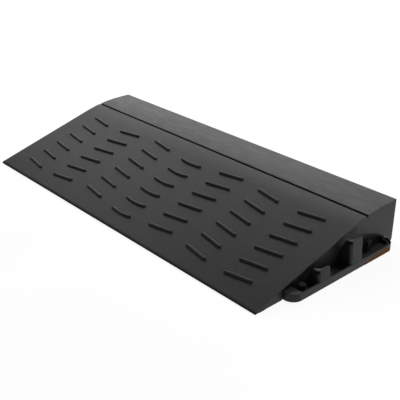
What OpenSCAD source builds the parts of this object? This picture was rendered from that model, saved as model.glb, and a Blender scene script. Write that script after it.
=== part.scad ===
// Threshold ramp: a hollow moulded deck hooks onto a low base tray, and a loose landing strip covers
// the deck's level rear edge. Millimetres, +X along the doorway, +Y uphill, +Z up. The origin is the
// centre of the footprint, on the floor.

/* [Deck] */
// Length of the deck along the doorway
ramp_l = 750; // [500:125:1250]
// Depth from the front lip to the rear face
ramp_d = 338; // [320:1:380]
// Height of the level landing above the floor
ramp_h = 79; // [74:0.5:84]
// Angle of the slope
slope_deg = 15.8; // [15:0.1:16.5]
// Height of the slope's surface at the front lip
lip_h = 3.9; // [3.5:0.1:6]
// Radius of the crest between the slope and the landing
crest_r = 325; // [150:5:340]
// Thickness of the deck's skin
skin_t = 3.2; // [2.6:0.1:4]
// Thickness of the deck's upright walls
wall_t = 3; // [2.5:0.1:3.5]
// Thickness of the ribs under the deck
rib_t = 2.2; // [1.8:0.1:3]
// Depth of the solid nose, from the lip to its back wall
nose_d = 58.5; // [50:0.5:60]
// Cells hollowed out under the nose
nose_cells = 12; // [8:1:16]
// Height of the rear wall's lower edge above the floor
rear_gap = 1; // [1:0.5:6]
// How far the right-hand wall stands back under the deck's edge
side_recess = 5; // [3:0.5:5.5]
// Radius of the fillet under the deck's right-hand edge
side_fillet = 4; // [2:0.5:5]

/* [Arch in the right-hand cheek] */
// Where the cheek starts to swell out to the deck's edge
arch_y = 203; // [190:1:215]
// Length over which it swells out
arch_blend = 34; // [20:1:45]
// Height of the arch's edge where its straight run starts
arch_top = 53.4; // [48:0.2:56]
// Distance of that place from the front lip
arch_start = 222.8; // [215:0.2:230]
// Length of the straight run, measured along the floor
arch_run = 60; // [40:1:70]
// Angle at which the straight run falls
arch_deg = 18.9; // [16:0.1:20]
// Radius of the curve that follows it down to the floor
arch_r = 145; // [135:1:180]
// Angle at which the arch's edge leads up to the deck in front of it
arch_lead = 28; // [20:1:35]

/* [Tread bars] */
// Length of a bar
tread_l = 56; // [40:1:70]
// Width of a bar's rounded ridge
tread_w = 7; // [4:0.1:9]
// Height of the ridge above the slope
tread_h = 3.5; // [1.5:0.1:4]
// Tilt of a bar away from the ramp's length
tread_tilt = 8.3; // [0:0.1:15]
// Spacing of the columns
tread_dx = 100; // [80:1:130]
// Spacing of the rows, measured along the floor
tread_dy = 33.9; // [25:0.1:50]
// Distance of the first row from the front lip
tread_y = 39.8; // [25:0.1:60]
// Radius of the curved bars in the middle column
tread_bend = 115; // [90:1:200]
// Least distance between a bar and the deck's side edges
tread_edge = 22; // [10:1:40]

/* [Landing strip] */
// Depth of the strip
strip_d = 78.5; // [72:0.5:80]
// Thickness of the strip
strip_t = 3.5; // [2.5:0.1:5]
// Width of the open groove in front of the strip
groove_w = 3.2; // [2:0.1:5]
// Clearance between the strip and its seat
seat_gap = 0.3; // [0.1:0.05:0.5]
// Chamfer of the deck's edge at the groove
edge_c = 0.6; // [0.4:0.1:1.2]
// Radius of the strip's upper front edge
strip_r = 3; // [1:0.1:3.4]
// Length of a leg under the strip
leg_h = 12; // [6:0.5:16]
// Width of a leg along the strip
leg_w = 14; // [8:1:24]
// Thickness of a leg
leg_t = 2.4; // [1.6:0.1:3]
// Clearance round a leg in its slot
leg_gap = 0.4; // [0.2:0.05:0.8]
// Distance of each row of legs from the strip's front and rear edges
leg_in = 14; // [10:0.5:20]

/* [Base tray] */
// How far the tray reaches out past the deck's right-hand side
tray_out = 20.7; // [16:0.1:22]
// Gap between the trays of two ramps that stand side by side
tray_gap = 0.6; // [0.4:0.1:1]
// Gap between the deck's nose and the tray
tray_front_gap = 2; // [1.5:0.1:5]
// Gap between the tray and the ramp's rear face
tray_rear_gap = 20; // [20:0.5:28]
// Height of the rim above the floor
tray_h = 14.2; // [12.5:0.1:14.2]
// Corner radius of the rim
tray_r = 18.5; // [16:0.5:22]
// Thickness of the rim
rim_t = 2; // [1.6:0.1:3]
// Radius of the rim's upper outer edge
rim_r = 1.2; // [0.5:0.1:1.5]
// Thickness of the tray's floor
floor_t = 3; // [2.5:0.1:4]
// Depth of the level ledge behind the front rim
ledge_d = 20.5; // [16:0.5:24]
// Width of the pocket under the deck's left-hand edge, for the next ramp's tray
pocket_w = 26; // [25:0.5:28]

/* [Hook towers] */
// Spacing of the rows of towers along the ramp
row_pitch = 125; // [110:1:140]
// Distance of the low tower from the front lip
low_y = 119; // [115:0.5:122]
// Width of the low tower
low_w = 28; // [22:0.5:32]
// Distance of the high tower from the front lip
high_y = 197; // [190:0.5:200]
// Width of the high tower
high_w = 29; // [22:0.5:32]
// Clearance between a tower's web and the deck's set-back wall
web_gap = 0.7; // [0.4:0.1:3]
// How far a tower's outer wall stands back from the rim's outer face
tower_in = 0.4; // [0.4:0.1:0.8]
// How far it stands back at its top, where it leans in
tower_lean = 3.2; // [2:0.1:5]
// Thickness of a tower's outer wall
tower_t = 2.8; // [2:0.1:3.5]
// Thickness of a tower's front web
web_t = 3; // [2:0.1:4]
// Length of the level top of a tower's web, before it slants down
web_head = 10.5; // [8:0.5:12]
// Angle at which the web's inner edge slants, from the upright
web_slant = 25; // [15:1:40]
// Radius inside the corner between a tower's outer wall and its web
tower_round = 12; // [8:0.5:14]
// Radius outside that corner
tower_r = 5; // [3:0.5:6]
// Chamfer of a tower's upper rear corner
tower_cut = 2.5; // [1:0.5:5]
// Clearance between a tower's top and the deck
tower_gap = 0.35; // [0.2:0.05:0.6]
// Thickness of the head over the hook's slot
head_t = 2; // [1.6:0.1:3]
// Height of the hook's slot
slot_h = 3.5; // [3:0.1:3.9]
// Depth of the hook's slot
slot_d = 4; // [3:0.1:5]
// Length of the hook's slot, measured in from the tray's edge
slot_l = 11; // [10:0.5:12]
// Clearance round a deck tongue in its slot
tongue_gap = 0.6; // [0.3:0.05:0.8]
// Width of a deck tongue
tongue_w = 8; // [5:0.5:8]
// Diameter of a locating peg
peg_d = 12.5; // [8:0.5:14]
// Distance of the pegs from the front lip
peg_y = 98.5; // [95:0.5:102]
// Distance of a peg from the tray's edge
peg_in = 16.7; // [12:0.1:17]
// Depth of a peg's top below the rim's
peg_down = 0.2; // [0:0.1:2]
// Width of the slim post behind the high tower
post_w = 11; // [6:0.5:14]
// Distance of the slim post from the front lip
post_y = 264; // [250:0.5:270]
// Height of the slim post above the floor
post_h = 25; // [18:0.5:30]
// Distance of the slim post from the tray's edge
post_in = 18; // [12:0.5:19]
// Thickness of the slim post
post_t = 3; // [2:0.1:4]

/* [Feet and fixing] */
// How far the rubber feet stand below the plastic
foot_h = 0.5; // [0.3:0.1:1.2]
// Width of a rubber foot strip
foot_w = 12; // [8:1:16]
// Depth of the groove that holds a foot strip
foot_groove = 1; // [0.6:0.1:1.2]
// Distance of the nose's foot strip from the front lip
nose_foot_y = 9; // [8:0.5:12]
// Distance between the nose's foot strip and the cells behind it
nose_land = 5; // [3:0.5:8]
// Distance of the tray's front foot strip from the front lip
front_foot_y = 90; // [84:1:100]
// Distance of the tray's middle foot strip from the front lip
middle_foot_y = 205; // [180:1:215]
// Width of the coloured grip band under the tray's rear rim
band_w = 5; // [4:0.5:10]
// Height of the grip band along the rear
band_h = 8.8; // [6:0.1:10]
// Height of the grip band where it starts
band_low = 3.8; // [2:0.1:5]
// Distance of the band's start from the front lip
band_y = 235; // [225:1:245]
// Length over which the band rises
band_rise = 55; // [30:1:60]
// Diameter of the floor screws' holes
screw_d = 5.5; // [4:0.1:6]
// Diameter of a hole's countersink
sink_d = 10.6; // [9:0.1:12]
// Distance of the front screw holes from the front lip
screw_y = 165; // [155:1:175]
// Distance between the front and the rear screw holes
screw_dy = 110; // [90:1:120]

/* [Hidden] */
// Small overlap that lets two shapes fuse or a cut run through
e = 1;
// Clearance between the deck's ribs and the tray, and above its rim
rib_gap = 0.3;
rim_gap = 1.5;
// Distance of a deck rib from the middle between two tower rows
rib_side = 8;
// Distance that the root of a deck tongue keeps from its tower, and the root's depth
root_gap = 1;
root_d = 7;
// Depth and thickness of a tongue in its slot
tongue_in = slot_d - tongue_gap;
tongue_t = slot_h - 2 * tongue_gap;
// Length that the deck slides forward until its tongues stand clear of the towers
stroke = tongue_in + root_gap;
// How far a tower reaches in from the tray's edge
tower_reach = tray_out + side_recess - web_gap;
// Least distance between the last row of towers and the tray's left-hand edge
row_rest = 20;
// Radius of a tread ridge's section
tread_r = (tread_w * tread_w / 4 + tread_h * tread_h) / (2 * tread_h);
// Height of the stiffeners under the skin, and their distances from the front lip
stiff_h = 10;
stiff_y = [105, 160, 180, 240, 300];
// Shift of each column's bars along the slope, counted from the middle column outwards
tread_shift = [-5.2, 6.8, 0, -1.4];

// Slope, and the two ends of the crest's arc
slope_k = tan(slope_deg);
crest_end = (ramp_h - lip_h) / slope_k + crest_r * tan(slope_deg / 2);
crest_start = crest_end - crest_r * sin(slope_deg);
// Groove between the slope and the landing strip
strip_y = ramp_d - strip_d;
groove_y = strip_y - groove_w;
seat_in = strip_t + seat_gap;
// Plan of the tray
tray_x0 = tray_out + tray_gap;
tray_x1 = ramp_l + tray_out;
tray_y0 = nose_d + tray_front_gap;
tray_y1 = ramp_d - tray_rear_gap;
floor_z = foot_h + floor_t;
ledge_y = tray_y0 + ledge_d;
total_l = tray_x1;
// Rows of towers and ribs, counted from the right
rows = floor((tray_x1 - pocket_w - tower_reach - row_rest) / row_pitch) + 1;
row_x = [for (i = [0:rows - 1]) tray_x1 - i * row_pitch];
rib_x = tray_x1 - row_pitch / 2 + rib_side;
ribs = floor((rib_x - pocket_w - row_pitch / 3) / (row_pitch / 2)) + 1;
wall_x = ramp_l - side_recess - wall_t;
// Band shelf: the tray's rim rides over the grip band
shelf_t = 2;
shelf_w = band_w + shelf_t;
shelf_h = band_h + shelf_t;
// Heights of the tower tops, just under the deck
low_top = under_z(low_y) - tower_gap;
high_top = under_z(high_y) - tower_gap;
// End of the arch's straight run, and the slight lap of the curve over that run
arch_end_y = arch_start + arch_run;
arch_end_z = arch_top - arch_run * tan(arch_deg);
arch_lap = 0.01;
// Bottom of the dip in the rear rim that lets the cheek slide over it, and the clearance at its sides
dip_z = min(tray_h, arch_z(tray_y1 + stroke) - rib_gap);
dip_gap = 1;
// Screw holes stand midway between two ribs
screw_x1 = rib_x - row_pitch / 4;
screw_x0 = screw_x1 - (ribs - 1) * row_pitch / 2;

// Height of the slope's underside at a distance from the front lip
function under_z(y) = lip_h + y * slope_k - skin_t / cos(slope_deg);

// Height of the arch's edge on its curve down to the floor, at a distance from the front lip
function arch_z(y) = arch_end_z - arch_r * cos(arch_deg)
    + sqrt(pow(arch_r, 2) - pow(y - arch_end_y + arch_r * sin(arch_deg), 2));

// Inner side of the rim's rear left corner at a distance along the ramp
function corner_y(x) = tray_y1 - tray_r + sqrt(pow(tray_r - rim_t, 2) - pow(tray_x0 + tray_r - x, 2));

// Moves everything from the front left corner to the centre of the footprint
module place() {
    translate([-total_l / 2, -ramp_d / 2, 0]) children();
}

// Draws a side profile, given in depth and height, and runs it along the ramp
module along(x, len) {
    translate([x, 0, 0])
        rotate([90, 0, 90])
            linear_extrude(len)
                children();
}

// Everything under the ramp's upper surface, sunk by a thickness and running down below the floor
module under_surface(sink) {
    apex_z = ramp_h - sink;
    low_z = lip_h - sink / cos(slope_deg);
    apex_y = (apex_z - low_z) / slope_k;
    r = crest_r - sink;
    difference() {
        polygon([[0, -ramp_h], [ramp_d, -ramp_h], [ramp_d, apex_z], [apex_y, apex_z], [0, low_z]]);
        difference() {
            translate([crest_end - r * sin(slope_deg), ramp_h - crest_r])
                square([r * sin(slope_deg), r + e]);
            translate([crest_end, ramp_h - crest_r]) circle(r = r, $fn = 720);
        }
    }
}

// Side profile between two distances from the lip
module between(y0, y1) {
    intersection() {
        children();
        translate([y0, -ramp_h]) square([y1 - y0, 2 * ramp_h + e]);
    }
}

// Solid side profile of the deck, with its sunk seat and the groove in front of it
module deck_solid() {
    difference() {
        union() {
            between(0, groove_y) under_surface(0);
            between(groove_y - e, ramp_d) under_surface(seat_in);
        }
        translate([-e, -ramp_h - e]) square([ramp_d + 2 * e, ramp_h + foot_h + e]);
        translate([nose_d, -ramp_h]) square([ramp_d, ramp_h + rear_gap]);
        groove_chamfer();
    }
}

// Cuts the chamfer of the deck's edge at the groove
module groove_chamfer() {
    y = groove_y;
    z = ramp_h - crest_r + sqrt(crest_r * crest_r - pow(crest_end - y, 2));
    polygon([[y - edge_c, z + edge_c], [y + e, z + edge_c], [y + e, z - edge_c - e], [y, z - edge_c],
             [y - edge_c, z]]);
}

// Cuts the round of the strip's upper front edge, which runs smoothly into the crest
module strip_round() {
    r = min(strip_r, strip_t);
    y = strip_y + r;
    z = ramp_h - crest_r + sqrt(pow(crest_r - r, 2) - pow(crest_end - y, 2));
    lean = asin((crest_end - y) / (crest_r - r));
    reach = r + e;
    difference() {
        polygon([[strip_y - e, z], [y, z], [y - reach * sin(lean), z + reach * cos(lean)],
                 [strip_y - e, z + reach * cos(lean)]]);
        translate([y, z]) circle(r = r, $fn = 96);
    }
}

// Hollow under the deck, between the nose and the rear wall
module deck_hollow() {
    between(nose_d, groove_y - skin_t) under_surface(skin_t);
    between(nose_d, ramp_d - wall_t) under_surface(seat_in + skin_t);
    translate([nose_d, -e]) square([ramp_d - wall_t - nose_d, rear_gap + 2 * e]);
}

// Side profile of a rib: it stands on the tray's floor and clears the tray's ledge and what lies at its rear
module rib_profile(rear_y = tray_y1 - shelf_w) {
    over = tray_h + rim_gap;
    y0 = ledge_y + stroke + rib_gap;
    y1 = rear_y - rib_gap;
    intersection() {
        union() {
            between(0, groove_y - e) under_surface(skin_t / 2);
            between(0, ramp_d) under_surface(seat_in + skin_t / 2);
        }
        polygon([[nose_d - e, over], [y0, over], [y0, floor_z + rib_gap], [y1, floor_z + rib_gap],
                 [y1, over], [ramp_d - wall_t + e, over], [ramp_d - wall_t + e, ramp_h],
                 [nose_d - e, ramp_h]]);
    }
}

// Arch that opens the cheek below its flush part
module arch_profile() {
    lead = arch_start - arch_y + e;
    translate([arch_end_y - arch_r * sin(arch_deg), arch_end_z - arch_r * cos(arch_deg)])
        circle(r = arch_r + arch_lap, $fn = 360);
    polygon([[arch_y - e, -e], [arch_y - e, arch_top + lead * tan(arch_lead)], [arch_start, arch_top],
             [arch_end_y, arch_end_z], [arch_end_y, -e]]);
}

// Cheek that swells out from the set-back wall until it is flush with the deck's edge
module cheek() {
    steps = 16;
    swell = [for (i = [0:steps])
        [wall_x + wall_t + side_recess * (1 - cos(180 * i / steps)) / 2, arch_y + arch_blend * i / steps]];
    intersection() {
        along(wall_x + wall_t - e, side_recess + e)
            difference() {
                between(arch_y, ramp_d) deck_solid();
                arch_profile();
            }
        linear_extrude(ramp_h)
            polygon(concat([[wall_x, arch_y]], swell, [[ramp_l, ramp_d], [wall_x, ramp_d]]));
    }
}

// Concave fillet between the set-back wall and the underside of the deck's edge
module edge_fillet() {
    y0 = nose_d - e;
    len = (arch_y + arch_blend - y0) / cos(slope_deg);
    intersection() {
        translate([wall_x + wall_t - e, y0, under_z(y0)])
            rotate([slope_deg, 0, 0])
                rotate([-90, 0, 0])
                    linear_extrude(len)
                        difference() {
                            translate([0, -e]) square([side_fillet + e, side_fillet + e]);
                            translate([side_fillet + e, side_fillet]) circle(r = side_fillet, $fn = 48);
                        }
        translate([wall_x, 0, tray_h + rim_gap]) cube([side_recess + wall_t, ramp_d, ramp_h]);
    }
}

// Keeps what lies above the root of the tread bars, inside the deck's skin
module from_root() {
    intersection() {
        children();
        translate([-tread_l, -tread_l, -e]) cube([2 * tread_l, 2 * tread_l, tread_h + 2 * e]);
    }
}

// One straight tread bar, centred: a rounded ridge with round ends
module straight_bar() {
    half = (tread_l - tread_w) / 2;
    centre_z = tread_h - tread_r;
    from_root()
        translate([-half, 0, centre_z])
            rotate([0, 90, 0])
                cylinder(h = 2 * half, r = tread_r, $fn = 48);
    for (side = [-1, 1])
        from_root()
            translate([side * half, 0, centre_z])
                sphere(r = tread_r, $fn = 48);
}

// One curved tread bar, hollow side uphill
module curved_bar() {
    half = asin((tread_l - tread_w) / 2 / tread_bend);
    sag = tread_bend * (1 - cos(half)) / 2;
    centre = [0, tread_bend - sag, tread_h - tread_r];
    from_root()
        translate(centre)
            rotate([0, 0, -90 - half])
                rotate_extrude(angle = 2 * half, $fn = 360)
                    translate([tread_bend, 0])
                        circle(r = tread_r, $fn = 48);
    for (side = [-1, 1])
        from_root()
            translate(centre)
                rotate([0, 0, -90 + side * half])
                    translate([tread_bend, 0, 0])
                        sphere(r = tread_r, $fn = 48);
}

// Wave of tread bars: the columns mirror each other about the middle one
module tread_bars() {
    half = floor((ramp_l / 2 - tread_l / 2 - tread_edge) / tread_dx);
    last = floor((crest_start - tread_y) / tread_dy);
    for (col = [-half:half], row = [0:last]) {
        shift = tread_shift[min(abs(col), len(tread_shift) - 1)];
        y = tread_y + row * tread_dy + shift;
        tilt = sign(col) * (abs(col) % 2 == 1 ? 1 : -1) * tread_tilt;
        translate([ramp_l / 2 + col * tread_dx, y, lip_h + y * slope_k])
            rotate([slope_deg, 0, 0])
                rotate([0, 0, tilt])
                    if (col == 0) curved_bar();
                    else straight_bar();
    }
}

// Tongue under the deck that slides into a tower's hook slot
module tongue(x, y, top) {
    z = top - head_t - (slot_h + tongue_t) / 2;
    y0 = y - root_gap - root_d;
    x0 = x - slot_l + (slot_l - tongue_w) / 2;
    translate([x0, y0, z]) cube([tongue_w, y + tongue_in - y0, tongue_t]);
    translate([x0, y0, z]) cube([tongue_w, root_d, under_z(y0) + skin_t / 2 - z]);
}

// Slots in the seat for the strip's legs, or the legs themselves
module leg_places() {
    n = floor(ramp_l / row_pitch);
    for (i = [0:n - 1], y = [strip_y + leg_in, ramp_d - leg_in])
        translate([ramp_l / n * (i + 0.5), y, 0]) children();
}

// Hollows under the nose, one cell after another
module nose_hollows() {
    end_t = side_recess;
    pitch = (ramp_l - 2 * end_t + rib_t) / nose_cells;
    y0 = nose_foot_y + foot_w + nose_land;
    for (i = [0:nose_cells - 1])
        along(end_t + i * pitch, pitch - rib_t)
            between(y0, nose_d - wall_t) under_surface(skin_t);
}

// The moulded deck: slope, crest, seat, nose, rear wall, cheek, ribs and tread bars
module ramp_deck() {
    color([0.17, 0.17, 0.175])
    place() {
        difference() {
            union() {
                along(0, ramp_l) difference() {
                    deck_solid();
                    deck_hollow();
                }
                along(wall_x, wall_t) rib_profile();
                along(pocket_w, wall_t) rib_profile(min(tray_y1 - shelf_w, corner_y(pocket_w) - rib_gap));
                for (i = [0:ribs - 1]) along(rib_x - i * row_pitch / 2, rib_t) rib_profile();
                for (y = stiff_y) stiffener(y);
                cheek();
                edge_fillet();
            }
            nose_hollows();
            translate([-e, nose_foot_y, -e]) cube([ramp_l + 2 * e, foot_w, foot_h + foot_groove + e]);
            leg_places() translate([-leg_w / 2 - leg_gap, -leg_t / 2 - leg_gap, ramp_h - strip_t - leg_h - e])
                cube([leg_w + 2 * leg_gap, leg_t + 2 * leg_gap, leg_h + 2 * e]);
        }
        tread_bars();
        for (x = row_x) {
            tongue(x == tray_x1 ? tray_out : x, low_y, low_top);
            tongue(x == tray_x1 ? tray_out : x, high_y, high_top);
        }
    }
}

// Stiffener that runs along the ramp under the skin
module stiffener(y) {
    sink = y < groove_y ? skin_t : seat_in + skin_t;
    z = y < crest_start ? under_z(y)
        : ramp_h - crest_r + sqrt(pow(crest_r - sink, 2) - pow(max(crest_end - y, 0), 2));
    translate([pocket_w + e, y, z - stiff_h]) cube([wall_x - pocket_w, rib_t, stiff_h + skin_t / 2]);
}

// Loose strip over the level rear edge, held by two rows of legs
module landing_strip() {
    color([0.24, 0.24, 0.245])
    place() {
        along(0, ramp_l)
            difference() {
                between(strip_y, ramp_d) under_surface(0);
                under_surface(strip_t);
                strip_round();
            }
        intersection() {
            leg_places() translate([-leg_w / 2, -leg_t / 2, ramp_h - strip_t - leg_h])
                cube([leg_w, leg_t, leg_h + strip_t]);
            along(0, ramp_l) under_surface(strip_t / 2);
        }
    }
}

// Rounded plan of the tray, drawn in by a distance
module tray_plan(inset) {
    r = tray_r - inset;
    translate([tray_x0 + tray_r, tray_y0 + inset])
        square([tray_x1 - tray_x0 - 2 * tray_r, tray_y1 - tray_y0 - 2 * inset]);
    translate([tray_x0 + inset, tray_y0 + tray_r])
        square([tray_x1 - tray_x0 - 2 * inset, tray_y1 - tray_y0 - 2 * tray_r]);
    for (x = [tray_x0 + tray_r, tray_x1 - tray_r], y = [tray_y0 + tray_r, tray_y1 - tray_r])
        translate([x, y]) circle(r = r, $fn = 96);
}

// Upright section of the rim, drawn at its distance from a corner's centre
module rim_section() {
    difference() {
        square_between(tray_r - rim_t, tray_r, foot_h, tray_h);
        translate([tray_r - rim_r, tray_h - rim_r])
            difference() {
                square([rim_r + e, rim_r + e]);
                circle(r = rim_r, $fn = 48);
            }
    }
}

// The rim: a corner and the straight run before it, four times round
module rim() {
    x = [tray_x0 + tray_r, tray_x1 - tray_r];
    y = [tray_y0 + tray_r, tray_y1 - tray_r];
    corners = [[x[1], y[1]], [x[0], y[1]], [x[0], y[0]], [x[1], y[0]]];
    runs = [y[1] - y[0], x[1] - x[0]];
    for (i = [0:3])
        translate(corners[i])
            rotate([0, 0, 90 * i]) {
                rotate_extrude(angle = 90, $fn = 96) rim_section();
                rotate([90, 0, 0]) linear_extrude(runs[i % 2]) rim_section();
            }
}

// Border of the tray along its right-hand and rear edges, from an outer to an inner distance
module border_plan(outer, inner) {
    intersection() {
        difference() {
            tray_plan(outer);
            tray_plan(inner);
        }
        union() {
            square_between(tray_x0 - 2 * e, tray_x1 + 2 * e, tray_y1 - inner, tray_y1 + 2 * e);
            square_between(tray_x1 - tray_r, tray_x1 + 2 * e, tray_y0, tray_y1 + 2 * e);
        }
    }
}

// Solid of the grip band: a wedge that rises to the rear
module band_solid(outer) {
    intersection() {
        translate([0, 0, min(outer, 0)]) linear_extrude(band_h + 2 * e) border_plan(outer, band_w);
        along(tray_x0 - 2 * e, tray_x1 - tray_x0 + 4 * e)
            polygon([[band_y, min(outer, 0)], [ramp_d, min(outer, 0)], [ramp_d, band_h],
                     [band_y + band_rise, band_h], [band_y, band_low]]);
    }
}

// Plan of a tower: an outer wall with a round rear edge, a front web and a rounded corner
module tower_plan(width) {
    fillet_x = -tower_t - tower_round;
    fillet_y = web_t + tower_round;
    difference() {
        union() {
            square_between(-2 * tower_reach, 0, 0, web_t);
            square_between(-tower_t, 0, 0, width - tower_t / 2);
            translate([-tower_t / 2, width - tower_t / 2]) circle(r = tower_t / 2, $fn = 48);
            difference() {
                square_between(fillet_x, 0, 0, fillet_y);
                translate([fillet_x, fillet_y]) circle(r = tower_round, $fn = 96);
            }
        }
        difference() {
            square_between(-tower_r, e, -e, tower_r);
            translate([-tower_r, tower_r]) circle(r = tower_r, $fn = 96);
        }
    }
}

// Front view that bounds a tower: its root lies inside the rim, and its web slants down from a level head
module tower_front(top, root_x) {
    head_x = -tower_lean - web_head;
    drop = (tower_reach + head_x) / tan(web_slant);
    low_z = foot_h + floor_t / 2;
    rim_z = tray_h - rim_r / 2;
    polygon([[-tower_reach, low_z], [root_x, low_z], [root_x, rim_z], [0, rim_z], [0, top], [head_x, top],
             [-tower_reach, top - drop]]);
}

// Tower of the tray: it leans in from the rim and has a hook slot in its front
module tower(x, y, width, top) {
    tilt = atan((tower_lean - tower_in) / (top - tray_h));
    translate([x, y, 0])
        difference() {
            intersection() {
                translate([-tower_in, 0, tray_h])
                    rotate([0, -tilt, 0])
                        translate([0, 0, -2 * tray_h])
                            linear_extrude(2 * tray_h + top)
                                tower_plan(width);
                translate([0, width + e, 0])
                    rotate([90, 0, 0])
                        linear_extrude(width + 2 * e)
                            tower_front(top, x == tray_x1 ? -rim_t / 2 : 0);
            }
            translate([-slot_l, -e, top - head_t - slot_h]) cube([slot_l + e, slot_d + e, slot_h]);
            rear_chamfer(width, top);
        }
}

// Cuts a tower's upper rear corner at a slant
module rear_chamfer(width, top) {
    translate([-tower_reach - e, width, top])
        rotate([0, 90, 0])
            linear_extrude(tower_reach + 2 * e)
                polygon([[-e, e], [tower_cut, e], [tower_cut, 0], [0, -tower_cut], [-e, -tower_cut]]);
}

// Rectangle between two corners
module square_between(x0, x1, y0, y1) {
    translate([x0, y0]) square([x1 - x0, y1 - y0]);
}

// One row of the tray: two towers, a locating peg and a slim post
module tower_row(x) {
    tower(x, low_y, low_w, low_top);
    tower(x, high_y, high_w, high_top);
    translate([x - peg_in, peg_y, floor_z - e])
        cylinder(h = tray_h - peg_down - floor_z + e, d = peg_d, $fn = 48);
    translate([x - post_in - post_t, post_y, floor_z - e]) cube([post_t, post_w, post_h - floor_z + e]);
}

// Countersunk hole for a floor screw
module screw_hole(x, y) {
    translate([x, y, foot_h - e]) cylinder(h = floor_t + 2 * e, d = screw_d, $fn = 48);
    translate([x, y, floor_z - (sink_d - screw_d) / 2])
        cylinder(h = (sink_d - screw_d) / 2, d1 = screw_d, d2 = sink_d, $fn = 48);
}

// Cuts the dip in the rear rim under the deck's cheek
module rim_dip() {
    translate([wall_x - dip_gap, tray_y1 - rim_t - e, dip_z])
        cube([side_recess + wall_t + 2 * dip_gap, rim_t + 2 * e, tray_h]);
}

// Groove for a foot strip, or the strip itself
module foot_strip(x0, x1, y, z0, z1) {
    translate([x0, y, z0]) cube([x1 - x0, foot_w, z1 - z0]);
}

// The moulded base: floor, rim, front ledge, rear shelf and rows of hook towers
module base_tray() {
    color([0.2, 0.2, 0.205])
    place()
        difference() {
            union() {
                translate([0, 0, foot_h]) linear_extrude(floor_t) tray_plan(rim_t / 2);
                rim();
                intersection() {
                    translate([0, 0, foot_h]) linear_extrude(tray_h - foot_h) tray_plan(rim_r);
                    union() {
                        translate([0, tray_y0, tray_h - rim_t]) cube([tray_x1, ledge_d, rim_t]);
                        translate([0, ledge_y - rim_t, 0]) cube([tray_x1, rim_t, tray_h]);
                    }
                }
                intersection() {
                    translate([0, 0, foot_h])
                        linear_extrude(shelf_h - foot_h)
                            border_plan(rim_t / 2, shelf_w);
                    translate([0, band_y - shelf_t, 0]) cube([tray_x1 + e, ramp_d, shelf_h]);
                }
                for (x = row_x) tower_row(x);
            }
            band_solid(-e);
            rim_dip();
            for (x = [screw_x0, screw_x1], y = [screw_y, screw_y + screw_dy]) screw_hole(x, y);
            for (y = [front_foot_y, middle_foot_y])
                foot_strip(tray_x0 + tray_r, tray_x1 - tray_r, y, 0, foot_h + foot_groove);
        }
}

// Soft coloured band that grips the floor under the tray's rear edge
module grip_band() {
    color([0.72, 0.36, 0.14]) place() band_solid(0);
}

// Rubber strip under the nose
module nose_foot() {
    color([0.06, 0.06, 0.06]) place() foot_strip(0, ramp_l, nose_foot_y, 0, foot_h + foot_groove);
}

// Rubber strip under the tray, near its front
module front_foot() {
    color([0.06, 0.06, 0.06])
        place() foot_strip(tray_x0 + tray_r, tray_x1 - tray_r, front_foot_y, 0, foot_h + foot_groove);
}

// Rubber strip under the middle of the tray
module middle_foot() {
    color([0.06, 0.06, 0.06])
        place() foot_strip(tray_x0 + tray_r, tray_x1 - tray_r, middle_foot_y, 0, foot_h + foot_groove);
}

ramp_deck();
landing_strip();
base_tray();
grip_band();
nose_foot();
front_foot();
middle_foot();
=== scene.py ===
"""Threshold ramp: a moulded deck on a base tray with a loose landing strip, on a floor that looks white.

All lengths are in metres, unless a name or comment says otherwise.
"""
from math import radians

import bpy
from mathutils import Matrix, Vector


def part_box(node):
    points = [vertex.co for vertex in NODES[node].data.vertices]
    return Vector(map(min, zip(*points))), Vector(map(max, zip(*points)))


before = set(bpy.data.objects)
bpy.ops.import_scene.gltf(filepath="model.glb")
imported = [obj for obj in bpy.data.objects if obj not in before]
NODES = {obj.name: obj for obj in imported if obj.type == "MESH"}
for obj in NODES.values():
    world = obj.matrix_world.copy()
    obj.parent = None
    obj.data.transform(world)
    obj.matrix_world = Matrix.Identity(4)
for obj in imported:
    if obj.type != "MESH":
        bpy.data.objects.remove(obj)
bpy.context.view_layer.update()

MIDDLE = (0.35, 0.65)       # the span of a noise that holds most of its values
WHOLE = (0.0, 1.0)          # the whole span of a factor
BEVEL_SAMPLES = 6           # for the soft edges
DULL = 0.9                  # roughness of the faces that the photo shows as dark lines

LIP_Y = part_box("ramp_deck")[0].y            # the deck's thin front edge
LIP_FADE = (-0.0010, 0.0045)                # from there, where the dull lip and its painted shade run out
STRIP_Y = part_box("landing_strip")[0].y      # the strip's front wall, inside the groove
STRIP_FADE = (0.0006, 0.0016)               # from there, where the dull wall and its painted shade run out

WHITE = (1.0, 1.0, 1.0, 1.0)
SOFT_LIGHT = 0.08           # strength of the even light from all round
WALL_TOP = (0.06, 0.16)     # height of a ray's direction at which the reflected wall fades out

FLOOR_HALF = 6.0            # half of a side
FLOOR_Z = -0.0003           # just under the feet, so that the two don't flicker when seen from below
FLOOR_GLOW = (0.9, 1.0)     # strength near the object and far from it
FLOOR_GLOW_SPAN = (1.0, 4.0)    # distances from the object's centre

SOFTBOXES = (
    # name, place, aim, size, watts
    ("overhead softbox", (0.85, 0.90, 2.30), (0.0, 0.0, 0.0), (1.2, 1.2), 18),
    ("left softbox", (-2.35, 0.90, 1.60), (0.0, 0.0, 0.0), (1.4, 1.2), 13),
    ("rear softbox", (-1.45, 1.95, 2.05), (0.1, 0.0, 0.0), (1.4, 1.2), 18),
    ("low softbox", (-1.95, 2.05, 0.65), (0.0, 0.0, 0.0), (2.2, 0.9), 11),
)

CAMERA_PLACE = (0.98434, -0.83526, 0.63531)
CAMERA_TURN_DEG = (63.7446, -0.0549, 48.0478)
CAMERA_LENS_MM = 67.244
CAMERA_SENSOR_MM = 36.0


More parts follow.
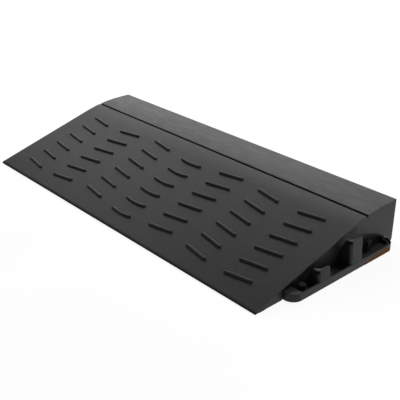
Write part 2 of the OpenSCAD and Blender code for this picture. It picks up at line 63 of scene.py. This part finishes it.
# ---------------------------------------------------------------- node trees
class Nodes:
    """Shorthand for building the node tree of a material or world."""

    def __init__(self, owner):
        owner.use_nodes = True
        self.owner = owner
        self.tree = owner.node_tree
        self.tree.nodes.clear()

    def add(self, kind, inputs=(), **settings):
        """A node of one kind. Each input takes a value, or a link from a socket."""
        node = self.tree.nodes.new("ShaderNode" + kind)
        for key, value in settings.items():
            setattr(node, key, value)
        for key, value in dict(inputs).items():
            socket = node.inputs[key]
            if isinstance(value, bpy.types.NodeSocket):
                self.tree.links.new(value, socket)
            else:
                socket.default_value = value
        return node

    def place(self, scale=(1.0, 1.0, 1.0)):
        """The object's own coordinates, stretched by a scale."""
        where = self.add("TexCoord").outputs["Object"]
        return self.add("Mapping", {"Vector": where, "Scale": scale}).outputs["Vector"]

    def noise(self, size, detail, rough, stretch=(1.0, 1.0, 1.0)):
        """Noise with blobs of about one size. A stretch below 1 draws them out along that axis."""
        inputs = {"Vector": self.place(stretch), "Scale": 1.0 / size, "Detail": detail, "Roughness": rough}
        return self.add("TexNoise", inputs).outputs["Fac"]

    def spread(self, fac, low, high, span=MIDDLE):
        """Maps a span of a factor onto low..high."""
        inputs = {"Value": fac, "From Min": span[0], "From Max": span[1], "To Min": low, "To Max": high}
        return self.add("MapRange", inputs).outputs["Result"]

    def behind(self, y, fade):
        """0 in front of a fade that starts and ends at these distances from y, and 1 behind it."""
        parts = self.add("SeparateXYZ", {"Vector": self.place()})
        return self.spread(parts.outputs["Y"], 0.0, 1.0, (y + fade[0], y + fade[1]))

    def tones(self, fac, dark, light, span=MIDDLE):
        """A colour that goes from dark to light over a span of a factor."""
        node = self.add("ValToRGB", {"Fac": fac})
        for element, position, colour in zip(node.color_ramp.elements, span, (dark, light)):
            element.position = position
            element.color = colour
        return node.outputs["Color"]

    def mix(self, fac, a, b):
        """The colour a at 0 and b at 1. The node's colour sockets are inputs 6 and 7, and output 2."""
        return self.add("Mix", {0: fac, 6: a, 7: b}, data_type="RGBA").outputs[2]

    def bump(self, height, depth, strength, under):
        """A relief on top of the normal under it."""
        inputs = {"Height": height, "Distance": depth, "Strength": strength, "Normal": under}
        return self.add("Bump", inputs).outputs["Normal"]

    def soft_edges(self, radius):
        return self.add("Bevel", {"Radius": radius}, samples=BEVEL_SAMPLES).outputs["Normal"]

    def rays(self, *kinds):
        """1 for rays of these kinds, such as Camera, and 0 for all others."""
        path = self.add("LightPath")
        total = path.outputs[f"Is {kinds[0]} Ray"]
        for kind in kinds[1:]:
            either = {0: total, 1: path.outputs[f"Is {kind} Ray"]}
            total = self.add("Math", either, operation="MAXIMUM").outputs["Value"]
        return total

    def choose(self, fac, a, b):
        """The shader a at 0 and b at 1."""
        return self.add("MixShader", {0: fac, 1: a, 2: b}).outputs[0]

    def finish(self, shader, output="OutputMaterial"):
        self.add(output, {"Surface": shader})
        return self.owner

    def moulding(self, tone, rough, normal, specular):
        """The finished material of a plastic or rubber piece."""
        shader = self.add("BsdfPrincipled", {"Base Color": tone, "Roughness": rough, "Normal": normal,
                                             "Specular IOR Level": specular})
        return self.finish(shader.outputs["BSDF"])


def new_material(name):
    return Nodes(bpy.data.materials.new(name))


def grey(value, blue=1.02):
    """A grey, with a touch more blue unless told otherwise."""
    return (value, value, value * blue, 1.0)


# ---------------------------------------------------------------- materials
def deck_plastic():
    """Satin black moulding: a fine spark-eroded grain and faint cloudy patches, with a duller lip that is
    darkened by painted shade.
    """
    m = new_material("deck plastic")
    cloud = m.noise(size=0.12, detail=3.0, rough=0.6)
    grain = m.noise(size=0.0032, detail=3.0, rough=0.7)
    sheen = m.noise(size=0.0045, detail=4.0, rough=0.65)
    pores = m.noise(size=0.0011, detail=2.0, rough=0.6)
    past_shaded_lip = m.behind(LIP_Y, LIP_FADE)
    tone = m.tones(cloud, grey(0.036), grey(0.041))
    tone = m.mix(m.spread(grain, 0.0, 1.0), tone, grey(0.050))
    # painted shade: darker towards the deck's front edge, fading out a few millimetres behind the lip
    tone = m.mix(past_shaded_lip, grey(0.012), tone)
    rough = m.spread(past_shaded_lip, DULL, m.spread(sheen, 0.36, 0.48), WHOLE)
    normal = m.bump(pores, depth=0.00006, strength=0.7, under=m.soft_edges(0.0003))
    return m.moulding(tone, rough, normal, specular=0.22)


def strip_plastic():
    """Satin black extrusion: streaks and hairline draw marks along its length, and a dull front wall darkened
    by painted shade.
    """
    m = new_material("strip plastic")
    streak = m.noise(size=0.0022, detail=3.0, rough=0.65, stretch=(0.03, 1.0, 1.0))
    hair = m.noise(size=0.0006, detail=2.0, rough=0.5, stretch=(0.012, 1.0, 1.0))
    cloud = m.noise(size=0.10, detail=2.0, rough=0.5, stretch=(0.5, 1.0, 1.0))
    sheen = m.noise(size=0.0045, detail=4.0, rough=0.7, stretch=(0.16, 1.0, 1.0))
    past_shaded_wall = m.behind(STRIP_Y, STRIP_FADE)
    tone = m.tones(streak, grey(0.040), grey(0.050), span=(0.32, 0.68))
    tone = m.mix(m.spread(cloud, 0.0, 0.4), tone, grey(0.054))
    # painted shade: the strip's front wall inside the groove is darkened nearly to black, so the groove reads
    # as a deep dark line
    tone = m.mix(past_shaded_wall, grey(0.010), tone)
    rough = m.spread(past_shaded_wall, DULL, m.spread(sheen, 0.39, 0.54), WHOLE)
    streaked = m.bump(streak, depth=0.00005, strength=0.6, under=m.soft_edges(0.0003))
    normal = m.bump(hair, depth=0.00004, strength=0.7, under=streaked)
    return m.moulding(tone, rough, normal, specular=0.32)


def tray_plastic():
    """Smoother satin black moulding with faint flow marks."""
    m = new_material("tray plastic")
    flow = m.noise(size=0.05, detail=4.0, rough=0.6, stretch=(0.4, 1.0, 1.0))
    sheen = m.noise(size=0.02, detail=3.0, rough=0.6)
    pores = m.noise(size=0.0014, detail=2.0, rough=0.6)
    tone = m.tones(flow, grey(0.038), grey(0.044))
    rough = m.spread(sheen, 0.42, 0.50)
    normal = m.bump(pores, depth=0.00004, strength=0.6, under=m.soft_edges(0.0014))
    return m.moulding(tone, rough, normal, specular=0.26)


def grip_orange():
    """Soft matt orange elastomer, pebbled and slightly mottled."""
    m = new_material("grip orange")
    patch = m.noise(size=0.02, detail=3.0, rough=0.6)
    sheen = m.noise(size=0.008, detail=3.0, rough=0.6)
    pebble = m.noise(size=0.0009, detail=2.0, rough=0.6)
    tone = m.tones(patch, (0.42, 0.155, 0.026, 1.0), (0.50, 0.180, 0.036, 1.0))
    rough = m.spread(sheen, 0.66, 0.80)
    normal = m.bump(pebble, depth=0.00008, strength=0.8, under=m.soft_edges(0.0006))
    return m.moulding(tone, rough, normal, specular=0.15)


def foot_rubber():
    """Matt black rubber with a close pebbled face."""
    m = new_material("foot rubber")
    patch = m.noise(size=0.01, detail=3.0, rough=0.6)
    sheen = m.noise(size=0.004, detail=3.0, rough=0.6)
    pebble = m.noise(size=0.0008, detail=2.0, rough=0.6)
    tone = m.tones(patch, grey(0.018), grey(0.027))
    rough = m.spread(sheen, 0.72, 0.86)
    normal = m.bump(pebble, depth=0.0001, strength=0.8, under=m.soft_edges(0.0003))
    return m.moulding(tone, rough, normal, specular=0.3)


def dress(material, *names):
    for name in names:
        slots = NODES[name].data.materials
        slots.clear()
        slots.append(material)


# ---------------------------------------------------------------- floor and world
def pale_floor():
    """Floor that looks white and keeps the object's shadow, but throws little light back at the object.

    Its glow grows with the distance, so that its far end runs into the white world."""
    m = new_material("pale floor")
    patch = m.noise(size=0.4, detail=2.0, rough=0.5)
    tone = m.tones(patch, grey(0.19, blue=1.0), grey(0.21, blue=1.0), span=(0.4, 0.6))
    lit = m.add("BsdfDiffuse", {"Color": tone})
    distance = m.add("VectorMath", {0: m.place()}, operation="LENGTH").outputs["Value"]
    glow = m.add("Emission", {"Color": WHITE, "Strength": m.spread(distance, *FLOOR_GLOW, FLOOR_GLOW_SPAN)})
    seen = m.add("AddShader", {0: lit.outputs[0], 1: glow.outputs[0]})
    dull = m.add("BsdfDiffuse", {"Color": grey(0.30, blue=1.0)})
    return m.finish(m.choose(m.rays("Camera", "Glossy", "Transmission"), dull.outputs[0], seen.outputs[0]))


def put(name, data):
    thing = bpy.data.objects.new(name, data)
    bpy.context.scene.collection.objects.link(thing)
    return thing


def make_floor():
    corners = [(x * FLOOR_HALF, y * FLOOR_HALF, FLOOR_Z) for x, y in ((-1, -1), (1, -1), (1, 1), (-1, 1))]
    mesh = bpy.data.meshes.new("floor")
    mesh.from_pydata(corners, [], [(0, 1, 2, 3)])
    mesh.materials.append(pale_floor())
    floor = put("floor", mesh)


def make_world():
    """A low soft light all round. The camera sees white, and gloss and glass see a white wall that ends a
    little above the horizon, under a dark ceiling."""
    w = Nodes(bpy.data.worlds.new("studio"))
    direction = w.add("SeparateXYZ", {"Vector": w.add("TexCoord").outputs["Generated"]})
    wall_strength = w.spread(direction.outputs["Z"], 1.0, SOFT_LIGHT, WALL_TOP)
    soft, wall, white = (w.add("Background", {"Color": WHITE, "Strength": strength}).outputs[0]
                         for strength in (SOFT_LIGHT, wall_strength, 1.0))
    around = w.choose(w.rays("Glossy", "Transmission"), soft, wall)
    bpy.context.scene.world = w.finish(w.choose(w.rays("Camera"), around, white), "OutputWorld")


# ---------------------------------------------------------------- lights and camera
def make_lights():
    for name, at, aim, size, watts in SOFTBOXES:
        light = bpy.data.lights.new(name, "AREA")
        light.shape = "RECTANGLE"
        light.size, light.size_y = size
        light.energy = watts
        lamp = put(name, light)
        lamp.location = at
        lamp.rotation_euler = (Vector(at) - Vector(aim)).to_track_quat("Z", "Y").to_euler()


def make_camera():
    data = bpy.data.cameras.new("camera")
    data.sensor_width = CAMERA_SENSOR_MM
    data.lens = CAMERA_LENS_MM
    camera = put("camera", data)
    camera.location = CAMERA_PLACE
    camera.rotation_euler = [radians(turn) for turn in CAMERA_TURN_DEG]
    bpy.context.scene.camera = camera


dress(deck_plastic(), "ramp_deck")
dress(strip_plastic(), "landing_strip")
dress(tray_plastic(), "base_tray")
dress(grip_orange(), "grip_band")
dress(foot_rubber(), "nose_foot", "front_foot", "middle_foot")
make_floor()
make_world()
make_lights()
make_camera()
bpy.context.scene.view_settings.view_transform = "Standard"
